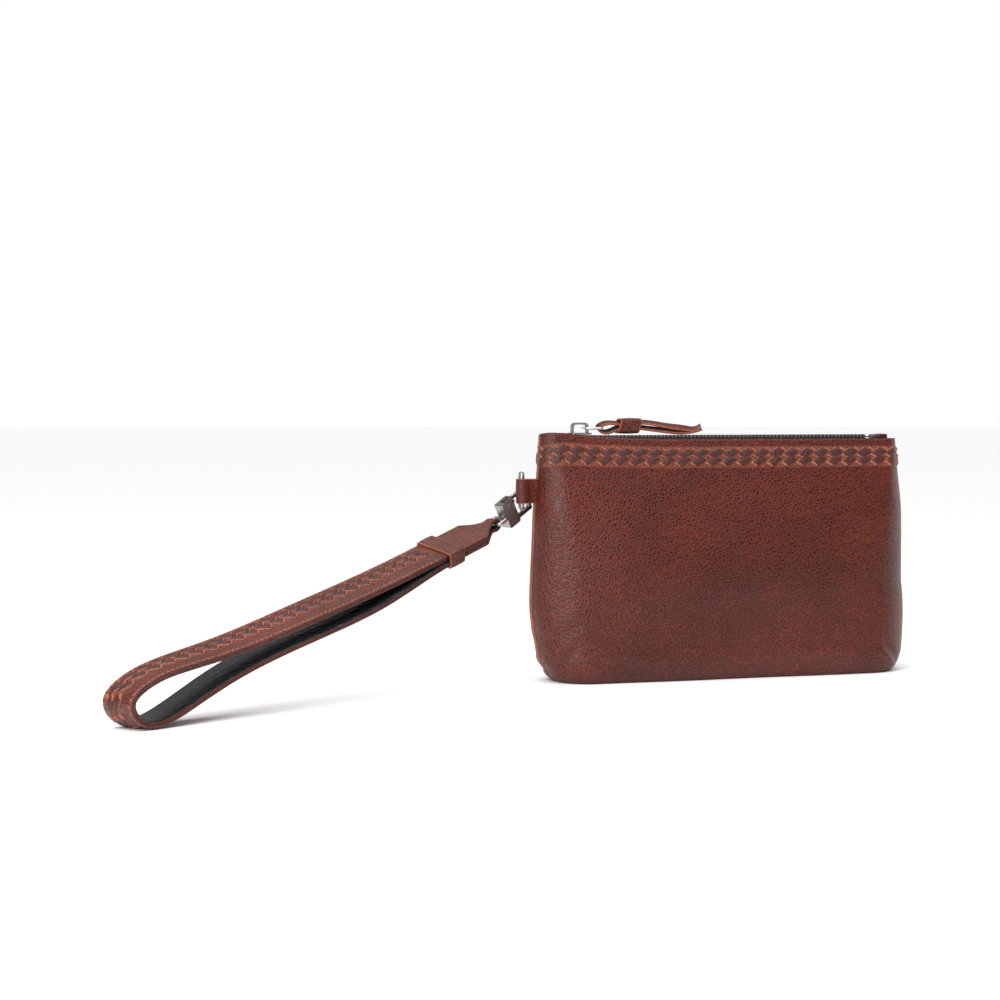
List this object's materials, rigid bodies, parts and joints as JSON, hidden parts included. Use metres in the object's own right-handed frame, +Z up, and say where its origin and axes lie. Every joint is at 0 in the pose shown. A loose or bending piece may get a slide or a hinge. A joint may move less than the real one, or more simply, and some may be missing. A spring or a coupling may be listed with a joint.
{
  "type": "zippered wristlet pouch",
  "caption": "Upright leather pouch with a metal top zip, laced leather trim and a detachable laced wrist strap on a swivel snap hook.",
  "frame": {"origin": "middle of the pouch base, on the surface it stands on", "axes": "+X along the pouch width away from the strap, -Y the laced front, +Z up"},
  "size_m": [0.4531, 0.1434, 0.1393],
  "materials": {
    "leather": "pebbled full-grain leather, burnished brown over tan, semi-gloss",
    "dark_lacing": "smooth dark brown leather lace with tan cut edges",
    "raw_edge": "cut leather edge, tan",
    "strap_lining_black": "smooth black leather",
    "lining_cloth": "plain woven lining",
    "zip_tape": "woven zip tape",
    "board": "grey-brown fibreboard",
    "gunmetal": "dark gunmetal plating, brushed",
    "bright_steel": "bright nickel plating"
  },
  "bodies": {
    "pouch": {"front_panel": "leather", "back_panel": "leather", "left_seam_binding": "raw_edge", "right_seam_binding": "raw_edge", "front_lining": "lining_cloth", "back_lining": "lining_cloth", "base_board": "board", "slip_pocket": "lining_cloth", "front_lacing": "dark_lacing", "back_lacing": "dark_lacing", "zip_tape_front": "zip_tape", "zip_tape_back": "zip_tape", "zip_teeth_front": "gunmetal", "zip_teeth_back": "gunmetal", "zip_top_stops": "gunmetal", "zip_bottom_stop": "gunmetal", "zip_end_tab_left": "leather", "zip_end_tab_right": "leather", "side_tab": "leather"},
    "slider": {"slider_body": "gunmetal", "slider_crown": "gunmetal"},
    "pull_ring": {"pull_ring": "bright_steel"},
    "pull": {"pull_strip": "leather", "pull_wrap": "leather"},
    "d_ring": {"d_ring": "gunmetal"},
    "hook": {"hook_frame": "gunmetal", "gate_rivet": "gunmetal", "gate_spring": "gunmetal"},
    "gate": {"hook_gate": "gunmetal"},
    "swivel": {"swivel_loop": "gunmetal", "swivel_pin": "gunmetal"},
    "strap": {"strap_tip": "leather", "strap_tip_core": "board", "strap_stud": "gunmetal", "strap_leather": "leather", "strap_lining": "strap_lining_black", "strap_lacing": "dark_lacing", "strap_keeper": "leather"}
  },
  "joints": [
    {"name": "slider_travel", "type": "slide", "parent": "pouch", "child": "slider", "axis": [1, 0, 0], "range_m": [0, 0.1653], "deforming": ["zip_teeth_front", "zip_teeth_back"]},
    {"name": "pull_ring_swing", "type": "hinge", "parent": "slider", "child": "pull_ring", "pos_m": [-0.07825, 0, 0.1339], "axis": [0, -1, 0], "range_deg": [0, 120]},
    {"name": "pull_swing", "type": "hinge", "parent": "pull_ring", "child": "pull", "pos_m": [-0.06905, 0, 0.1339], "axis": [0, -1, 0], "range_deg": [0, 60]},
    {"name": "d_ring_swing", "type": "hinge", "parent": "pouch", "child": "d_ring", "pos_m": [-0.11311, 0, 0.101], "axis": [0, 0, 1], "range_deg": [0, 75]},
    {"name": "hook_slide_round_ring", "type": "hinge", "parent": "d_ring", "child": "hook", "pos_m": [-0.11239, 0.00291, 0.101], "axis": [0.9703, -0.2419, 0], "range_deg": [-25, 40]},
    {"name": "gate_open", "type": "hinge", "parent": "hook", "child": "gate", "pos_m": [-0.12058, 0.00247, 0.09323], "axis": [-0.454, 0.891, 0], "range_deg": [0, 14], "stiffness_Nm_per_rad": 0.02, "springref_deg": -20.05, "deforming": ["gate_spring"]},
    {"name": "swivel_spin", "type": "hinge", "parent": "hook", "child": "swivel", "pos_m": [-0.12706, -0.00084, 0.08531], "axis": [-0.7793, -0.3971, -0.4848], "continuous": true},
    {"name": "strap_swing", "type": "hinge", "parent": "swivel", "child": "strap", "pos_m": [-0.12939, -0.00203, 0.08385], "axis": [-0.454, 0.891, 0], "range_deg": [-45, 45]}
  ]
}
